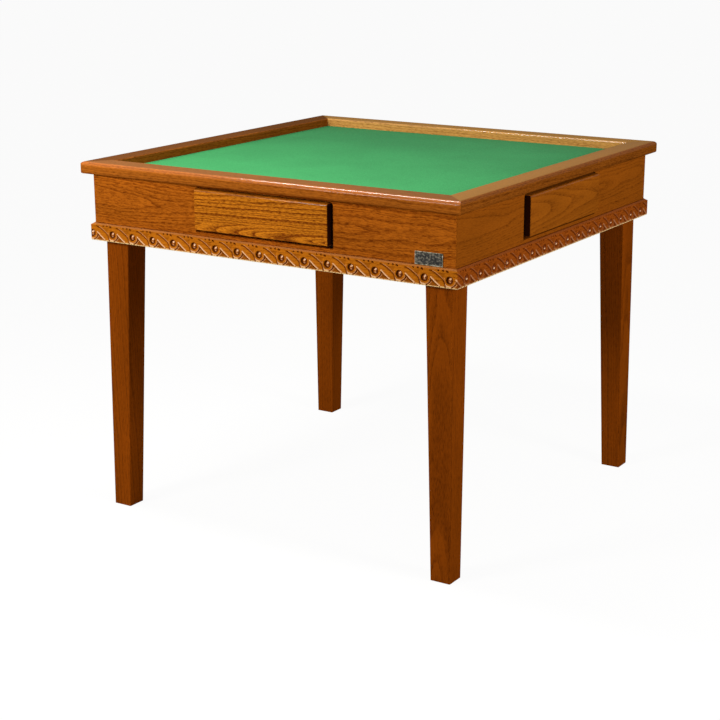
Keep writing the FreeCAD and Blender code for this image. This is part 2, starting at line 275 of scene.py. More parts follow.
    # Cloudiness of the stain, in patches a hand long
    cloud = stretched_noise(length=0.22, width=0.05, detail=3.0, roughness=0.55)["Fac"]
    # The cloud's range is scaled by the piece's painted light or shade
    cloud_value = add_node(tree, "ShaderNodeMapRange",
                           inputs={"Value": cloud, "From Min": 0.3, "From Max": 0.7,
                                   "To Min": cloud_dark * painted_light,
                                   "To Max": cloud_light * painted_light}).outputs[0]
    shade = add_node(tree, "ShaderNodeVectorMath", operation="SCALE",
                     inputs={0: dark_pores, "Scale": cloud_value}).outputs[0]

    relief = add_node(tree, "ShaderNodeMath", operation="MULTIPLY",
                      inputs={0: pore_share, 1: -1.0}).outputs[0]
    bump = add_node(tree, "ShaderNodeBump",
                    inputs={"Strength": 0.35, "Distance": pore_depth, "Height": relief})
    lacquer = tree.nodes["Principled BSDF"]
    tree.links.new(shade, lacquer.inputs["Base Color"])
    tree.links.new(bump.outputs[0], lacquer.inputs["Normal"])
    lacquer.inputs["Roughness"].default_value = 0.35
    lacquer.inputs["Specular IOR Level"].default_value = 0.0
    return material


def dress(node, material):
    """Gives a frame node its finish."""
    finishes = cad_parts[node].data.materials
    finishes.clear()
    finishes.append(material)


corners = ("front_right", "back_right", "back_left", "front_left")
leg_late = "#8C4208"
leg_early = "#5A2603"
leg_piths = {
    "front_right": (0.402, -0.330, 0.0),
    "back_right": (0.300, 0.402, 0.0),
    "back_left": (-0.330, 0.350, 0.0),
    "front_left": (-0.450, -0.470, 0.0),
}
for corner in corners:
    ash = stained_ash("stained_ash_leg_" + corner, "z", leg_piths[corner], leg_early, leg_late,
                      ring=0.0045, lean=0.030, contrast=0.5, speckle=0.3)
    dress(corner + "_leg", ash)


# ---------------------------------------------------------------------------------------------
# Aprons: four boards of the same stained ash, mitred at the corners, with the grain lengthways.
# The front board shows more figure than the others.
# ---------------------------------------------------------------------------------------------

sides = ("front", "right", "back", "left")
apron_late = "#BC6516"
apron_early = "#7E3A08"
# Painted light and shade: each side's boards are painted lighter or darker by how the light falls
# on that side, the right side darkest
side_painted_light = {"front": 0.97, "right": 0.60, "back": 0.90, "left": 0.90}
apron_contrast = {"front": 0.8, "right": 0.35, "back": 0.35, "left": 0.35}
apron_speckle = {"front": 0.85, "right": 0.3, "back": 0.3, "left": 0.3}
apron_piths = {
    "front": ("x", (0.0, -0.380, 0.690)),
    "right": ("y", (0.385, 0.0, 0.700)),
    "back": ("x", (0.0, 0.385, 0.670)),
    "left": ("y", (-0.380, 0.0, 0.710)),
}
for side in sides:
    grain, pith = apron_piths[side]
    ash = stained_ash("stained_ash_apron_" + side, grain, pith, apron_early, apron_late,
                      ring=0.0033, contrast=apron_contrast[side], painted_light=side_painted_light[side],
                      speckle=apron_speckle[side])
    dress(side + "_apron", ash)


# ---------------------------------------------------------------------------------------------
# Rim: four rails of the same ash with thick rounded edges, mitred at the corners and rebated
# underneath for the playing board. The gloss lacquer is thickest on the rounded edge. The rails
# carry painted light and shade by side, and their flat tops a painted sheen and painted shade.
# ---------------------------------------------------------------------------------------------

def tint(material, mask, colour):
    """Lays another colour over a finish where the mask is 1."""
    tree = material.node_tree
    ground = tree.nodes["Principled BSDF"].inputs["Base Color"]
    mixed = add_node(tree, "ShaderNodeMix", data_type="RGBA",
                     inputs={"Factor": mask, "A": ground.links[0].from_socket,
                             "B": linear(colour)})
    tree.links.new(mixed.outputs["Result"], ground)


def polish(material, amount):
    """Gives a finish a clear gloss coat where the amount is 1."""
    shader = material.node_tree.nodes["Principled BSDF"]
    material.node_tree.links.new(amount, shader.inputs["Coat Weight"])
    shader.inputs["Coat Roughness"].default_value = 0.16


def by_height(material, low, high, greys):
    """A value that follows the height between two heights, through a ramp of (share, grey)."""
    tree = material.node_tree
    place = add_node(tree, "ShaderNodeTexCoord").outputs["Object"]
    height = add_node(tree, "ShaderNodeSeparateXYZ", inputs={0: place}).outputs["Z"]
    share = add_node(tree, "ShaderNodeMapRange",
                     inputs={"Value": height, "From Min": low, "From Max": high}).outputs[0]
    return add_node(tree, "ShaderNodeValToRGB", inputs={0: share},
                    stops=[(at, (grey, grey, grey, 1.0)) for at, grey in greys]).outputs[0]


rim_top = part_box("front_rim_rail")[1].z
# The back rail's paler, tanner wood is painted light on its lit inner face and top
rim_woods_with_painted_light = {"front": ("#763708", "#B4641C"), "right": ("#763708", "#B4641C"),
             "back": ("#8A5A24", "#C8904A"), "left": ("#763708", "#B4641C")}
# Painted light and shade: each rail is painted lighter or darker by how the light falls on its side
rim_painted_light = {"front": 0.97, "right": 0.60, "back": 0.90, "left": 0.60}
rim_piths = {
    "front": ("x", (0.0, -0.500, 0.690)),
    "right": ("y", (0.500, 0.0, 0.680)),
    "back": ("x", (0.0, 0.490, 0.690)),
    "left": ("y", (-0.500, 0.0, 0.685)),
}
# Painted reflection and shade on each rail's flat top: a tan painted sheen on the right and back,
# darker painted shade on the front and most on the left
painted_top_sheen_and_shade = {"front": "#5C4426", "right": "#9A7238", "back": "#84602E", "left": "#463424"}
painted_top_depth = 0.0012
painted_top_share = 0.6
flat_gloss = {"front": 0.06, "right": 0.06, "back": 0.02, "left": 0.0}
edge_gloss = {"front": 0.55, "right": 0.10, "back": 0.55, "left": 0.05}
edge_depth = 0.008
for side in sides:
    grain, pith = rim_piths[side]
    ash = stained_ash("stained_ash_rim_" + side, grain, pith, *rim_woods_with_painted_light[side], ring=0.0036,
                      contrast=0.45, painted_light=rim_painted_light[side], speckle=0.6)
    painted_top = by_height(ash, rim_top - painted_top_depth, rim_top, [(0.0, 0.0), (0.8, painted_top_share)])
    # Painted sheen and shade laid over the flat top
    tint(ash, painted_top, painted_top_sheen_and_shade[side])
    bright, dull = edge_gloss[side], flat_gloss[side]
    polish(ash, by_height(ash, rim_top - edge_depth, rim_top,
                          [(0.0, 0.0), (0.3, bright), (0.9, bright), (0.98, dull)]))
    dress(side + "_rim_rail", ash)


# ---------------------------------------------------------------------------------------------
# Drawer fronts: boards of paler ash, the front one strongly figured, standing a little proud of
# the aprons. Their end grain drinks the stain, and painted shade on top of it makes it nearly
# black. Each front is painted lighter or darker by how the light falls on its side.
# ---------------------------------------------------------------------------------------------

strong_figure = {"ring": 0.0032, "lean": 0.017, "wander": 0.008, "contrast": 1.15, "speckle": 0.8,
                 "flame": ((0.26, -0.080), 13.0, 0.056)}
quiet_figure = {"ring": 0.0060, "lean": 0.05, "contrast": 0.5, "speckle": 0.2}
drawer_figure = {"front": strong_figure, "right": quiet_figure, "back": quiet_figure,
                 "left": quiet_figure}
drawer_woods = {"front": ("#743409", "#D07C1A"), "right": ("#7A380A", "#C06A18"),
                "back": ("#7A380A", "#C06A18"), "left": ("#7A380A", "#C06A18")}
# Painted light and shade: the front drawer is painted lighter and the others darker by how the
# light falls on their sides
drawer_painted_light = {"front": 1.10, "right": 0.62, "back": 0.90, "left": 0.90}
drawer_piths = {
    "front": ("x", (0.0, -0.395, 0.735)),
    "right": ("y", (0.405, 0.0, 0.695)),
    "back": ("x", (0.0, 0.415, 0.700)),
    "left": ("y", (-0.410, 0.0, 0.650)),
}
end_grain_and_painted_shade = "#36190A"
# The end grain's colour, stain darkened further with painted shade, starts and is full this far
# inside the board's end
end_starts, end_full = 0.0006, 0.0002
drawer_edge_gloss = {"front": 0.8, "right": 0.2, "back": 0.8, "left": 0.2}
drawer_edge_depth = 0.0045
for side in sides:
    grain, pith = drawer_piths[side]
    ash = stained_ash("stained_ash_drawer_" + side, grain, pith, *drawer_woods[side],
                      painted_light=drawer_painted_light[side], **drawer_figure[side])
    low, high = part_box(side + "_drawer_face")
    lengthways = "xy".index(grain)
    half = (high - low)[lengthways] / 2
    tree = ash.node_tree
    place = add_node(tree, "ShaderNodeTexCoord").outputs["Object"]
    run = add_node(tree, "ShaderNodeSeparateXYZ", inputs={0: place}).outputs[lengthways]
    from_middle = add_node(tree, "ShaderNodeMath", operation="ABSOLUTE",
                           inputs={0: run}).outputs[0]
    at_end = add_node(tree, "ShaderNodeMapRange",
                      inputs={"Value": from_middle, "From Min": half - end_starts,
                              "From Max": half - end_full}).outputs[0]
    # The ends are painted nearly black: their stain and painted shade
    tint(ash, at_end, end_grain_and_painted_shade)
    polish(ash, by_height(ash, high.z - drawer_edge_depth, high.z,
                          [(0.0, 0.0), (0.4, drawer_edge_gloss[side])]))
    dress(side + "_drawer_face", ash)


# ---------------------------------------------------------------------------------------------
# Mouldings: strips of beech carved with a running wave, mitred and nailed along the foot of the
# aprons. Each wave curls round a bead in a sunk eye. The hollows are darkened with stain and
# painted shade, and the ridges, bead crowns, ledge and foot carry painted highlights and
# reflections.
# ---------------------------------------------------------------------------------------------

apron_outer = -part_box("front_apron")[0].y
wave_pitch = 0.05425
bead_height = 0.6128
# How far the bead nearest to a strip's middle lies from there
middle_bead = {"front": -0.0059, "right": 0.0261, "back": -0.0059, "left": 0.0261}
carved_rows = 50
column_step = 0.00066
# The carved strip reaches this much lower than the plain strip that it stands for
foot_drop = 0.003
corner_round = 0.003
fade_at_mitre = 0.004
ledge_slope = 0.0042
ledge_painted_reflection = 0.15
ledge_shine = 0.3
foot_round = 0.0018
foot_steps = 4
lip_height = 0.0025
mm_per_metre = 1000

# All places from here are in millimetres from the bead. Each hollow is an outline and its depth;
# each cut a line, its half width and its depth; each ridge a line, its half width, how far it
# stays sunk and how strong its painted highlight is; each gouge a place, its half length and its
# half width
hollows = [
    ([(13.5, -4.5), (16.5, -3.8), (22.0, -8.2), (27.5, -12.4), (28.5, -13.8), (9.5, -13.8),
      (12.8, -9.0)], 1.7),
    ([(24.0, 13.0), (30.0, 9.8), (36.0, 5.6), (40.0, 2.6), (42.0, 6.0), (44.0, 10.0),
      (48.0, 13.6)], 1.3),
]
cuts = [
    ([(12.0, 15.0), (19.0, 12.8), (25.5, 9.2), (31.5, 5.4), (37.5, 1.6), (41.5, -2.8),
      (43.6, -7.5), (45.2, -14.5)], 2.2, 2.7),
    ([(15.0, -2.0), (20.5, -6.9), (25.5, -10.3), (28.5, -12.2)], 2.0, 2.9),
    ([(14.4, 0.5), (13.2, -5.0), (9.6, -9.9), (4.0, -13.8)], 1.8, 2.7),
    ([(32.8, -12.4), (33.6, -16.6)], 1.6, 2.4),
    ([(-3.0, -14.0), (-2.4, -16.6)], 1.2, 2.0),
    ([(19.0, -13.6), (19.8, -16.6)], 1.2, 2.0),
]
ridges = [
    ([(18.0, 15.6), (25.0, 12.4), (30.5, 8.9), (36.5, 4.7), (40.5, 1.4)], 1.2, 0.1, 0.30),
    ([(13.6, 2.8), (17.5, -0.2), (22.5, -4.4), (27.5, -8.1), (32.5, -11.4)], 2.1, 0.0, 1.0),
    ([(12.0, -1.5), (10.8, -5.4), (7.6, -9.0), (2.5, -11.4)], 1.2, 0.1, 0.35),
    ([(-10.6, 4.2), (-11.4, 0.0), (-10.6, -4.2), (-8.6, -7.4)], 1.1, 0.0, 0.25),
    ([(-9.4, -8.2), (-7.4, -10.2), (-3.6, -11.4), (2.0, -11.9)], 1.7, 0.0, 1.0),
    ([(15.6, -6.2), (12.0, -10.2), (8.0, -12.6)], 1.0, 0.7, 0.35),
]
gouges = [(-24.5, 16.7, 2.1, 1.6), (-14.5, 17.1, 2.6, 1.8), (-5.5, 16.1, 3.3, 2.2)]
gouge_depth = 3.4
gouge_lean = 0.3
gouge_floor, gouge_bank = 1.5, 1.2
# The face between the cuts lies a little below the ridges, and hollows have soft banks
face_sunk = 0.6
hollow_bank = 1.4
# A cut goes no deeper where the ground already lies this deep
cut_limit = 1.5
ridge_flank = 1.25
# Round each bead: a raised collar, the sunk eye and the bead's dome
collar_middle = 10.2
collar_half_width = 1.9
collar_sunk = 0.15
collar_rise = 0.45
eye_radius = 7.9
eye_depth = 4.2
eye_bank = 1.3
eye_lip = 0.2
# The share of its depth that the eye has on its shallow side, and what the steep side adds
eye_shallow, eye_steeper = 0.45, 0.55
eye_middle, eye_span = 0.5, 10
# Painted shade: the eye is darkened most on its steep side, beyond what its depth gives
eye_stain_and_painted_shade, pool_bank = 1.6, 1.5
bead_radius = 5.0
bead_sunk = 0.1
# How polished the face, the ridges and the beads are
face_shine = 0.12
ridge_shine = 0.5
bead_shine, crown_shine = 0.6, 0.4
# Painted glints on each bead: the middle of the place, its radius and how pale it is painted
painted_glints_above = [(1.3, 3.2, 2.1, 1.0), (0.6, -2.9, 1.7, 0.6)]
painted_glints_below = [(-1.6, -1.2, 1.7, 0.9), (0.6, -1.5, 1.8, 1.0), (2.4, -2.0, 1.5, 0.9)]
glint_spread = 1.4
painted_bead_glints = {"front": painted_glints_above, "right": painted_glints_below, "back": painted_glints_above,
                 "left": painted_glints_below}


def curve(points, steps=8):
    """A smooth line through some points."""
    ends = [points[0]] + points + [points[-1]]
    line = []
    for before, start, end, after in zip(ends, ends[1:], ends[2:], ends[3:]):
        before, start, end, after = (numpy.array(p) for p in (before, start, end, after))
        for step in range(steps):
            t = step / steps
            line.append(0.5 * (2 * start + (end - before) * t
                               + (2 * before - 5 * start + 4 * end - after) * t ** 2
                               + (3 * start - before - 3 * end + after) * t ** 3))
    return numpy.array(line + [points[-1]])


def distance_to(line, u, v):
    """How far each place is from a line of points."""
    nearest = numpy.full(u.shape, numpy.inf)
    for (ax, ay), (bx, by) in zip(line, line[1:]):
        dx, dy = bx - ax, by - ay
        t = numpy.clip(((u - ax) * dx + (v - ay) * dy) / (dx * dx + dy * dy), 0, 1)
        nearest = numpy.minimum(nearest, numpy.hypot(u - ax - t * dx, v - ay - t * dy))
    return nearest


def inside(outline, u, v):
    """True where a place lies within a closed outline."""
    within = numpy.zeros(u.shape, bool)
    for (ax, ay), (bx, by) in zip(outline, outline[1:] + outline[:1]):
        crossing = (ay > v) != (by > v)
        rise = by - ay if by != ay else 1.0
        within ^= crossing & (u < (bx - ax) * (v - ay) / rise + ax)
    return within


def ease(value):
    """From 0 to 1 with soft ends."""
    value = numpy.clip(value, 0, 1)
    return value * value * (3 - 2 * value)


def one_wave(u, v, glints):
    """Depth, polish, darkening by stain and painted shade, and painted highlights of one wave, in
    millimetres from its bead.
    """
    depth = numpy.full(u.shape, face_sunk)
    shine = numpy.full(u.shape, face_shine)
    painted_highlight = numpy.zeros(u.shape)
    for outline, deep in hollows:
        edge = distance_to(outline + outline[:1], u, v)
        share = ease(numpy.where(inside(outline, u, v), edge, 0.0) / hollow_bank)
        depth += (deep - face_sunk) * share
    for line, half_width, deep in cuts:
        share = ease(1 - distance_to(curve(line), u, v) / half_width)
        cut = depth + (deep - face_sunk) * share * (depth < cut_limit)
        depth = numpy.maximum(depth, cut)
    for line, half_width, sunk, highlight_strength in ridges:
        share = ease(ridge_flank * (1 - distance_to(curve(line), u, v) / half_width))
        depth = depth * (1 - share) + sunk * share
        shine = numpy.maximum(shine, ridge_shine * share)
        painted_highlight = numpy.maximum(painted_highlight, highlight_strength * share)
    out = numpy.hypot(u, v)
    ring = ease(1 - numpy.abs(out - collar_middle) / collar_half_width)
    depth = depth - ring * numpy.clip(depth - collar_sunk, 0, collar_rise)
    pit = ease((eye_radius - out) / eye_bank + eye_lip)
    # The eye is cut deepest on the side that the wave comes from
    steep = eye_shallow + eye_steeper * ease(eye_middle - u / eye_span)
    depth = depth * (1 - pit) + eye_depth * steep * pit
    ball = numpy.sqrt(numpy.clip(bead_radius ** 2 - out ** 2, 0, None))
    dome = eye_depth + bead_sunk - ball * eye_depth / bead_radius
    depth = numpy.where(out < bead_radius, numpy.minimum(depth, dome), depth)
    painted_highlight = painted_highlight * (1 - pit)
    # Painted highlights: each bead gets pale spots where its glints fall
    for glint_u, glint_v, radius, highlight_strength in glints:
        share = ease(glint_spread - numpy.hypot(u - glint_u, v - glint_v) / radius)
        painted_highlight = numpy.maximum(painted_highlight, highlight_strength * share)
    shine = numpy.where(out < bead_radius, bead_shine + crown_shine * painted_highlight, shine)
    # Painted shade pooled in the eye, strongest on its steep side
    pooled_stain_and_shade = eye_stain_and_painted_shade * steep * ease((eye_radius - out) / pool_bank)
    # Darkness follows depth: stain in the hollows with painted shade in the recesses, lifted under
    # painted highlights
    stain_and_shade = (depth + pooled_stain_and_shade) * (1 - painted_highlight)
    for cut_u, cut_v, half_length, half_width in gouges:
        sideways = v - cut_v + gouge_lean * (u - cut_u)
        away = numpy.hypot((u - cut_u) / half_length, sideways / half_width)
        share = ease(gouge_floor - gouge_bank * away)
        depth = numpy.maximum(depth, gouge_depth * share)
        stain_and_shade = numpy.maximum(stain_and_shade, gouge_depth * share)
    return depth, shine, stain_and_shade, painted_highlight


def carving(u, v, glints):
    """The same along a strip, where a wave reaches over into the next one's span."""
    depth, shine, stain_and_shade, painted_highlight = one_wave(u, v, glints)
    for shift in (-wave_pitch * mm_per_metre, wave_pitch * mm_per_metre):
        other_depth, other_shine, other_stain_and_shade, other_painted_highlight = one_wave(u - shift, v, glints)
        changed = numpy.abs(other_depth - face_sunk) > numpy.abs(depth - face_sunk)
        depth = numpy.where(changed, other_depth, depth)
        stain_and_shade = numpy.where(changed, other_stain_and_shade, stain_and_shade)
        shine = numpy.maximum(shine, other_shine)
        painted_highlight = numpy.maximum(painted_highlight, other_painted_highlight)
    return depth, shine, stain_and_shade, painted_highlight


def carved_strip(name, bead_at, quarters, glints):
    """One strip along its side, mitred at both ends, closed against the apron."""
    touching = 1e-6
    low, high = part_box("front_moulding")
    low.z -= foot_drop
    inner = apron_outer
    outer = -low.y
    top = high.z - ledge_slope
    bottom = low.z + foot_round
    # From the back of the ledge to the back of the foot: outwards, height, share of carving
    outline = [(inner, high.z, 0.0),
               ((inner * 2 + outer) / 3, high.z - ledge_slope / 3, 0.0),
               ((inner + outer * 2) / 3, high.z - ledge_slope * 2 / 3, 0.4)]
    for row in range(carved_rows + 1):
        outline.append((outer, top + (bottom - top) * row / carved_rows, 1.0))
    for step in range(1, foot_steps + 1):
        angle = pi / 2 * step / foot_steps
        outline.append((outer - foot_round + foot_round * cos(angle),
                        bottom - foot_round * sin(angle), 1.0 - step / foot_steps))
    outline.append((inner, low.z, 0.0))

    columns = int(round(2 * outer / column_step))
    rows = len(outline) - 1
    along_strip = numpy.linspace(-outer, outer, columns + 1)
    heights = numpy.array([height for _, height, _ in outline])
    shares = numpy.array([share for _, _, share in outline])
    u = (along_strip - bead_at + wave_pitch / 2) % wave_pitch - wave_pitch / 2
    u, v = numpy.meshgrid(u * mm_per_metre, (heights - bead_height) * mm_per_metre,
                          indexing="ij")
    depth, shine, stain_and_shade, painted_highlight = carving(u, v, glints)
    depth = depth / mm_per_metre
    depth = depth * shares * ease((heights - low.z) / lip_height)
    depth *= ease((outer - corner_round - numpy.abs(along_strip)) / fade_at_mitre)[:, None]
    shine = numpy.where(shares > 0.5, shine, ledge_shine)
    # The ledge carries a painted reflection
    painted_highlight = numpy.where(shares > 0.5, painted_highlight, ledge_painted_reflection)

    form = bmesh.new()
    stain_and_shade_depth = form.verts.layers.float.new("stain_and_shade_depth")
    polished = form.verts.layers.float.new("polish")
    painted_paleness = form.verts.layers.float.new("painted_highlight")
    bmesh.ops.create_grid(form, x_segments=columns, y_segments=rows, size=0.5)
    for vert in form.verts:
        column = round((vert.co.x + 0.5) * columns)
        row = round((0.5 - vert.co.y) * rows)
        out, height, share = outline[row]
        stands_out = out > inner + touching
        reach = out - corner_round * (1 - sqrt(0.5)) if stands_out else out
        x = max(-reach, min(reach, along_strip[column]))
        past = max(0.0, abs(x) - (out - corner_round))
        rounded = 0.0
        if stands_out:
            rounded = corner_round - sqrt(max(0.0, corner_round ** 2 - past ** 2))
        vert[stain_and_shade_depth] = stain_and_shade[column, row] * share
        vert[polished] = shine[column, row]
        vert[painted_paleness] = painted_highlight[column, row]
        vert.co = (x, -(out - rounded - depth[column, row]), height)
    bmesh.ops.remove_doubles(form, verts=form.verts, dist=touching)
    bmesh.ops.dissolve_degenerate(form, edges=form.edges, dist=touching / 10)
    for face in form.faces:
        face.smooth = True
    against_apron = [edge for edge in form.edges if edge.is_boundary
                     and all(abs(vert.co.y + inner) < touching for vert in edge.verts)]
    bmesh.ops.bridge_loops(form, edges=against_apron)
    mitres = [edge for edge in form.edges if edge.is_boundary]
    bmesh.ops.holes_fill(form, edges=mitres, sides=0)
    bmesh.ops.recalc_face_normals(form, faces=form.faces)
    bmesh.ops.rotate(form, verts=form.verts, matrix=Matrix.Rotation(quarters * pi / 2, 3, "Z"))
    piece = bpy.data.objects.new(name, bpy.data.meshes.new(name))
    form.to_mesh(piece.data)
    form.free()
    bpy.context.scene.collection.objects.link(piece)
    return piece


carving_woods = {"front": ("#9E520C", "#C87214"), "right": ("#A04A0E", "#C0601A"),
                 "back": ("#9E520C", "#C87214"), "left": ("#A04A0E", "#C0601A")}
# The stain and painted shade are stronger, and the painted highlights paler, on the front and back
carving_painted_highlight = {"front": 0.85, "right": 0.22, "back": 0.85, "left": 0.22}
carving_stain_and_painted_shade = {"front": 0.85, "right": 0.6, "back": 0.85, "left": 0.6}
hollow_stain_and_painted_shade = "#501400"
painted_highlight_colour = "#FBC896"
foot_painted_reflection_colour = "#F6D596"
foot_painted_reflection_height = 0.0035
bead_gloss = 0.7
strip_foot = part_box("front_moulding")[0].z - foot_drop
for quarters, side in enumerate(sides):
    grain, pith = apron_piths[side]
    # Each side's carving takes that side's painted light or shade
    beech = stained_ash("stained_beech_carving_" + side, grain, pith, *carving_woods[side],
                        contrast=0.5, painted_light=side_painted_light[side])
    tree = beech.node_tree
    stain_and_shade_depth = add_node(tree, "ShaderNodeAttribute", attribute_name="stain_and_shade_depth").outputs["Fac"]
    # Darkening by depth: stain and painted shade in the hollows
    pooled_stain_and_shade = add_node(tree, "ShaderNodeMapRange",
                      inputs={"Value": stain_and_shade_depth, "From Min": 0.7, "From Max": 2.6,
                              "To Max": carving_stain_and_painted_shade[side]}).outputs[0]
    tint(beech, pooled_stain_and_shade, hollow_stain_and_painted_shade)
    gloss_here = add_node(tree, "ShaderNodeAttribute", attribute_name="polish").outputs["Fac"]
    painted_highlight = add_node(tree, "ShaderNodeAttribute", attribute_name="painted_highlight").outputs["Fac"]
    on_bead = add_node(tree, "ShaderNodeMapRange",
                       inputs={"Value": gloss_here, "From Min": 0.52, "From Max": 0.6,
                               "To Min": carving_painted_highlight[side], "To Max": 1.0}).outputs[0]
    highlight_strength = add_node(tree, "ShaderNodeMath", operation="MULTIPLY",
                    inputs={0: painted_highlight, 1: on_bead}).outputs[0]
    # Painted highlights on the ridges, bead crowns and ledge
    tint(beech, highlight_strength, painted_highlight_colour)
    # Painted reflection along the foot's lower edge, where it is flush
    painted_paleness = by_height(beech, strip_foot, strip_foot + foot_painted_reflection_height,
                     [(0.0, 0.9), (0.5, 0.8), (1.0, 0.0)])
    flush = add_node(tree, "ShaderNodeMapRange",
                     inputs={"Value": stain_and_shade_depth, "From Min": 0.5, "From Max": 1.2, "To Min": 1.0,
                             "To Max": 0.1}).outputs[0]
    foot_painted_reflection = add_node(tree, "ShaderNodeMath", operation="MULTIPLY",
                         inputs={0: painted_paleness, 1: flush}).outputs[0]
    tint(beech, foot_painted_reflection, foot_painted_reflection_colour)
    glossy = add_node(tree, "ShaderNodeMath", operation="POWER",
                      inputs={0: gloss_here, 1: 3.0}).outputs[0]
    polish(beech, add_node(tree, "ShaderNodeMath", operation="MULTIPLY",
                           inputs={0: glossy, 1: bead_gloss}).outputs[0])
    strip = carved_strip(side + "_carved_moulding", middle_bead[side], quarters,
                         painted_bead_glints[side])
    strip.data.materials.append(beech)
    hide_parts(side + "_moulding")
    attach(strip, "table")


# ---------------------------------------------------------------------------------------------
# Playing surface: wool baize, stretched flat and glued down on a plywood board inside the rim.
# Its nap stands in small tufts and is unevenly brushed.
# ---------------------------------------------------------------------------------------------

baize_low, baize_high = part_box("baize")
baize_width = baize_high.x - baize_low.x
baize_green = "#389553"
baize_shade = "#1F6535"
# Tufts of the nap are about 2 mm across, and brushed patches a hand's breadth
tufts_per_metre = 420.0
patches_per_metre = 7.0
nap_depth = 0.0006
cloth_squares = 48

form = bmesh.new()
bmesh.ops.create_grid(form, x_segments=cloth_squares, y_segments=cloth_squares,
                      size=baize_width / 2,
                      matrix=Matrix.Translation((0, 0, baize_high.z)))
bmesh.ops.solidify(form, geom=list(form.faces), thickness=baize_high.z - baize_low.z)
bmesh.ops.recalc_face_normals(form, faces=form.faces)
cloth = bpy.data.objects.new("baize_cloth", bpy.data.meshes.new("baize_cloth"))
form.to_mesh(cloth.data)
form.free()
bpy.context.scene.collection.objects.link(cloth)

felt = bpy.data.materials.new("wool_baize")
felt.use_nodes = True
tree = felt.node_tree
place = add_node(tree, "ShaderNodeTexCoord").outputs["Object"]
nap = add_node(tree, "ShaderNodeTexNoise",
               inputs={"Vector": place, "Scale": tufts_per_metre, "Detail": 3.0}).outputs["Fac"]
brushed = add_node(tree, "ShaderNodeTexNoise",
                   inputs={"Vector": place, "Scale": patches_per_metre,
                           "Detail": 3.0}).outputs["Fac"]
nap_share = add_node(tree, "ShaderNodeMapRange",
                     inputs={"Value": nap, "From Min": 0.3, "From Max": 0.7,
                             "To Max": 0.55}).outputs[0]
brush_share = add_node(tree, "ShaderNodeMapRange",
                       inputs={"Value": brushed, "From Min": 0.35, "From Max": 0.65,
                               "To Max": 0.15}).outputs[0]
# Painted shade: the cloth is darker towards the back
depth_in = add_node(tree, "ShaderNodeSeparateXYZ", inputs={0: place}).outputs["Y"]
painted_back_shade = add_node(tree, "ShaderNodeMapRange",
                      inputs={"Value": depth_in, "From Min": -0.40, "From Max": 0.40,
                              "To Min": -0.1, "To Max": 0.60}).outputs[0]
uneven = add_node(tree, "ShaderNodeMath", operation="ADD",
                  inputs={0: nap_share, 1: brush_share}).outputs[0]
shares = add_node(tree, "ShaderNodeMath", operation="ADD", use_clamp=True,
                  inputs={0: uneven, 1: painted_back_shade}).outputs[0]
green = add_node(tree, "ShaderNodeMix", data_type="RGBA",
                 inputs={"Factor": shares, "A": linear(baize_green),
                         "B": linear(baize_shade)}).outputs["Result"]
fuzz = add_node(tree, "ShaderNodeBump",
                inputs={"Strength": 0.4, "Distance": nap_depth, "Height": nap})
wool = tree.nodes["Principled BSDF"]
tree.links.new(green, wool.inputs["Base Color"])
tree.links.new(fuzz.outputs[0], wool.inputs["Normal"])
wool.inputs["Roughness"].default_value = 0.95
wool.inputs["Specular IOR Level"].default_value = 0.1
wool.inputs["Sheen Weight"].default_value = 0.15
wool.inputs["Sheen Roughness"].default_value = 0.6
wool.inputs["Sheen Tint"].default_value = linear("#7FC08F")
cloth.data.materials.append(felt)
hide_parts("baize")
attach(cloth, "table")


# ---------------------------------------------------------------------------------------------
# Hidden timber: bearers, runners, blocks, cleats, stops and drawer boxes of planed pine, with a
# plywood board and drawer bottoms. None has a finish. The frame near the aprons is painted dark
# with painted shade, so that it reads dark through the drawer openings.
# ---------------------------------------------------------------------------------------------

def bare_wood(name, grain, highlight_strength, dark, ring):
    """Planed or sanded wood without finish: soft rings and a matt, slightly fuzzy surface."""
    tree_middle = (0.013, 0.021, 0.40)
    material = stained_ash(name, grain, tree_middle, dark, highlight_strength, ring=ring, contrast=0.7)
    shader = material.node_tree.nodes["Principled BSDF"]
    shader.inputs["Roughness"].default_value = 0.75
    shader.inputs["Specular IOR Level"].default_value = 0.3
    return material


pine_tones = ("#D9B988", "#B98F5A")
pine_ring = 0.0060
plywood_tones = ("#CFAE7E", "#B08A58")
plywood_ring = 0.0110
painted_gap_shade_colour = "#2C1508"
# How far from the table's middle the painted shade starts and is full
painted_shade_starts, painted_shade_full = 0.360, 0.400
painted_shade_share = 0.95

pine = {grain: bare_wood("planed_pine_" + grain, grain, *pine_tones, pine_ring) for grain in "xyz"}
frame_with_painted_shade = {grain: bare_wood("pine_stained_behind_openings_" + grain, grain, *pine_tones, pine_ring)
           for grain in "xy"}
for timber in frame_with_painted_shade.values():
    tree = timber.node_tree
    place = add_node(tree, "ShaderNodeTexCoord").outputs["Object"]
    out = add_node(tree, "ShaderNodeVectorMath", operation="ABSOLUTE", inputs={0: place}).outputs[0]
    ways = add_node(tree, "ShaderNodeSeparateXYZ", inputs={0: out}).outputs
    further = add_node(tree, "ShaderNodeMath", operation="MAXIMUM",
                       inputs={0: ways["X"], 1: ways["Y"]}).outputs[0]
    # Painted shade on the frame behind the openings
    painted_gap_shade = add_node(tree, "ShaderNodeMapRange",
                       inputs={"Value": further, "From Min": painted_shade_starts,
                               "From Max": painted_shade_full, "To Max": painted_shade_share}).outputs[0]
    tint(timber, painted_gap_shade, painted_gap_shade_colour)
plywood = bare_wood("sanded_plywood", "x", *plywood_tones, plywood_ring)
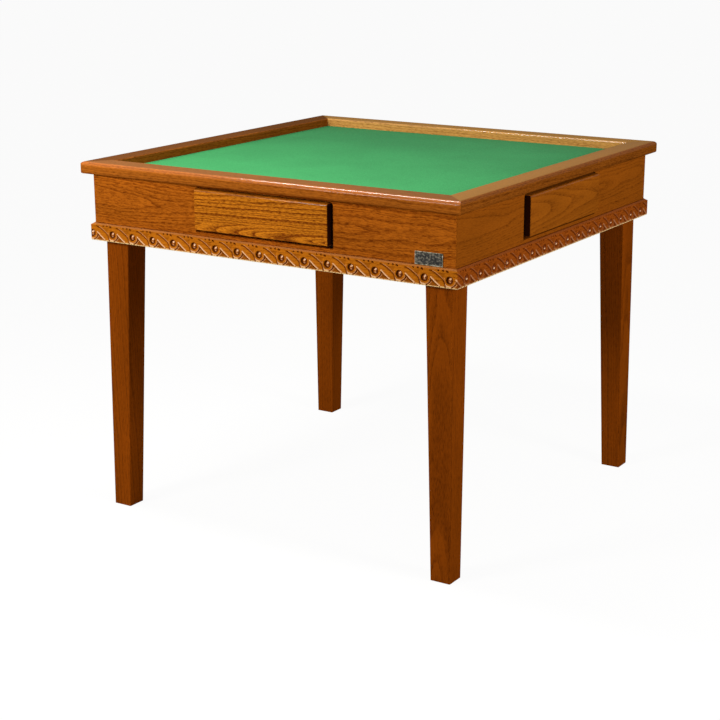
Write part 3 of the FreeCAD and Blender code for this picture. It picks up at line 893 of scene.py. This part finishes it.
for quarters, side in enumerate(sides):
    lengthways, sideways = ("x", "y") if quarters % 2 == 0 else ("y", "x")
    dress(side + "_bearer", frame_with_painted_shade[lengthways])
    dress(side + "_drawer_runners", frame_with_painted_shade[sideways])
    dress(side + "_drawer_side_a", pine[sideways])
    dress(side + "_drawer_side_b", pine[sideways])
    dress(side + "_drawer_back", pine[lengthways])
    dress(side + "_drawer_bottom", plywood)
for corner in corners:
    dress(corner + "_corner_block", pine["z"])
dress("board_cleats", pine["x"])
dress("drawer_stops", pine["x"])
dress("playing_board", plywood)


# ---------------------------------------------------------------------------------------------
# Fixings: zinc-plated hanger bolts, washers and wing nuts behind the corner blocks. The zinc
# has a fine spangle of lighter and darker grains.
# ---------------------------------------------------------------------------------------------

# Spangles are about 4 mm across
spangles_per_metre = 260.0

zinc = bpy.data.materials.new("zinc_plated_steel")
zinc.use_nodes = True
tree = zinc.node_tree
place = add_node(tree, "ShaderNodeTexCoord").outputs["Object"]
spangle = add_node(tree, "ShaderNodeTexNoise",
                   inputs={"Vector": place, "Scale": spangles_per_metre,
                           "Detail": 2.0}).outputs["Fac"]
plating = add_node(tree, "ShaderNodeMix", data_type="RGBA",
                   inputs={"Factor": spangle, "A": linear("#B9BBB8"),
                           "B": linear("#8F928F")}).outputs["Result"]
steel = tree.nodes["Principled BSDF"]
tree.links.new(plating, steel.inputs["Base Color"])
steel.inputs["Metallic"].default_value = 1.0
steel.inputs["Roughness"].default_value = 0.38
for name in ("hanger_bolts", "washers", "wing_nuts"):
    dress(name, zinc)


# ---------------------------------------------------------------------------------------------
# Plate: a bare cast pewter plate with a narrow raised border, nailed on above the moulding. It
# is dark in its pits and paler along the border.
# ---------------------------------------------------------------------------------------------

plate_low, plate_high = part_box("nameplate")
border_width = 0.0016
border_height = 0.0005
# Pits in the casting are about 4 mm across, with finer ones between them
pits_per_metre = 240.0
pit_depth = 0.0005
# For the field and the border: the pits, the metal between them and the flecks on it
pewter_tones = {"cast_pewter": ("#0D0B08", "#2C2A24", "#6A6456"),
                "pale_pewter_border": ("#55513F", "#8A8470", "#C4BDA6")}

form = bmesh.new()
bmesh.ops.create_cube(form, size=1.0)
bmesh.ops.scale(form, verts=form.verts, vec=plate_high - plate_low)
bmesh.ops.translate(form, verts=form.verts, vec=(plate_high + plate_low) / 2)
front = min(form.faces, key=lambda face: face.calc_center_median().y)
border = bmesh.ops.inset_region(form, faces=[front], thickness=border_width)["faces"]
bmesh.ops.inset_region(form, faces=[front], thickness=border_height, depth=-border_height)
for face in border:
    face.material_index = 1
bmesh.ops.recalc_face_normals(form, faces=form.faces)
plate = bpy.data.objects.new("pewter_plate", bpy.data.meshes.new("pewter_plate"))
form.to_mesh(plate.data)
form.free()
bpy.context.scene.collection.objects.link(plate)

for name, (pit, field, fleck) in pewter_tones.items():
    pewter = bpy.data.materials.new(name)
    pewter.use_nodes = True
    tree = pewter.node_tree
    place = add_node(tree, "ShaderNodeTexCoord").outputs["Object"]
    grit = add_node(tree, "ShaderNodeTexNoise",
                    inputs={"Vector": place, "Scale": pits_per_metre,
                            "Detail": 3.0}).outputs["Fac"]
    patina = add_node(tree, "ShaderNodeValToRGB", inputs={0: grit},
                      stops=[(0.38, linear(pit)), (0.50, linear(field)),
                             (0.68, linear(fleck))]).outputs[0]
    pits = add_node(tree, "ShaderNodeBump",
                    inputs={"Strength": 0.5, "Distance": pit_depth, "Height": grit})
    cast = tree.nodes["Principled BSDF"]
    tree.links.new(patina, cast.inputs["Base Color"])
    tree.links.new(pits.outputs[0], cast.inputs["Normal"])
    cast.inputs["Metallic"].default_value = 0.6
    cast.inputs["Roughness"].default_value = 0.45
    plate.data.materials.append(pewter)
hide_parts("nameplate")
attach(plate, "table")


# ---------------------------------------------------------------------------------------------
# Colours are shown as they are written.
# ---------------------------------------------------------------------------------------------

bpy.context.scene.view_settings.view_transform = "Standard"
